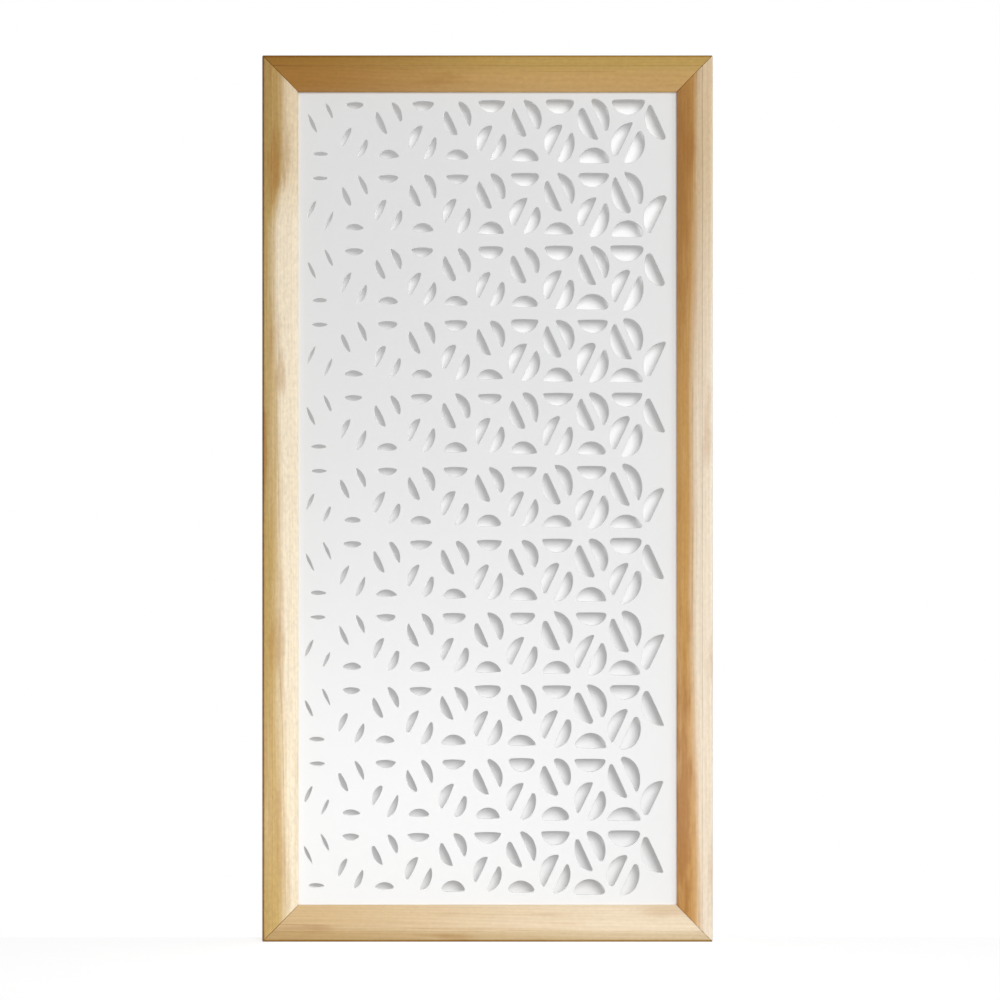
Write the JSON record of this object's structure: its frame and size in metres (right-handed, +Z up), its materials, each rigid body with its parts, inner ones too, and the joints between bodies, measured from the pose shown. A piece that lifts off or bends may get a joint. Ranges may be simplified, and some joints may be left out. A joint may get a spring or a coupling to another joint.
{
  "type": "framed perforated screen panel",
  "caption": "Wall-hung screen panel: white sheet pierced by paired half-moon slots that grow from left to right, held in a mitred pale timber moulding with D-ring hangers behind.",
  "frame": {"origin": "middle of the bottom edge, half way through the depth from the moulding's front to the bumpers' backs", "axes": "+Z up the height, +X to the viewer's right, +Y to the back (the front faces -Y)"},
  "size_m": [0.61, 0.038, 1.2],
  "materials": {
    "moulding_timber": "clear satin lacquer",
    "bead_timber": "bare sanded",
    "white_sheet": "white satin",
    "bright_steel": "drawn steel",
    "plated_steel": "zinc plated",
    "soft_pad": "matte"
  },
  "bodies": {
    "frame": {"top_rail": "moulding_timber", "bottom_rail": "moulding_timber", "left_stile": "moulding_timber", "right_stile": "moulding_timber", "top_bead": "bead_timber", "bottom_bead": "bead_timber", "left_bead": "bead_timber", "right_bead": "bead_timber", "pierced_panel": "white_sheet", "top_left_v_nails": "bright_steel", "top_right_v_nails": "bright_steel", "bottom_left_v_nails": "bright_steel", "bottom_right_v_nails": "bright_steel", "bead_brads": "bright_steel", "left_hanger_strap": "plated_steel", "right_hanger_strap": "plated_steel", "left_hanger_screws": "plated_steel", "right_hanger_screws": "plated_steel", "top_left_bumper": "soft_pad", "top_right_bumper": "soft_pad", "bottom_left_bumper": "soft_pad", "bottom_right_bumper": "soft_pad"},
    "left_ring": {"left_hanger_ring": "plated_steel"},
    "right_ring": {"right_hanger_ring": "plated_steel"}
  },
  "joints": [
    {"name": "left_ring_swing", "type": "hinge", "parent": "frame", "child": "left_ring", "pos_m": [-0.286, 0.0158, 0.92], "axis": [1, 0, 0], "range_deg": [0, 180]},
    {"name": "right_ring_swing", "type": "hinge", "parent": "frame", "child": "right_ring", "pos_m": [0.286, 0.0158, 0.92], "axis": [1, 0, 0], "range_deg": [0, 180]}
  ]
}
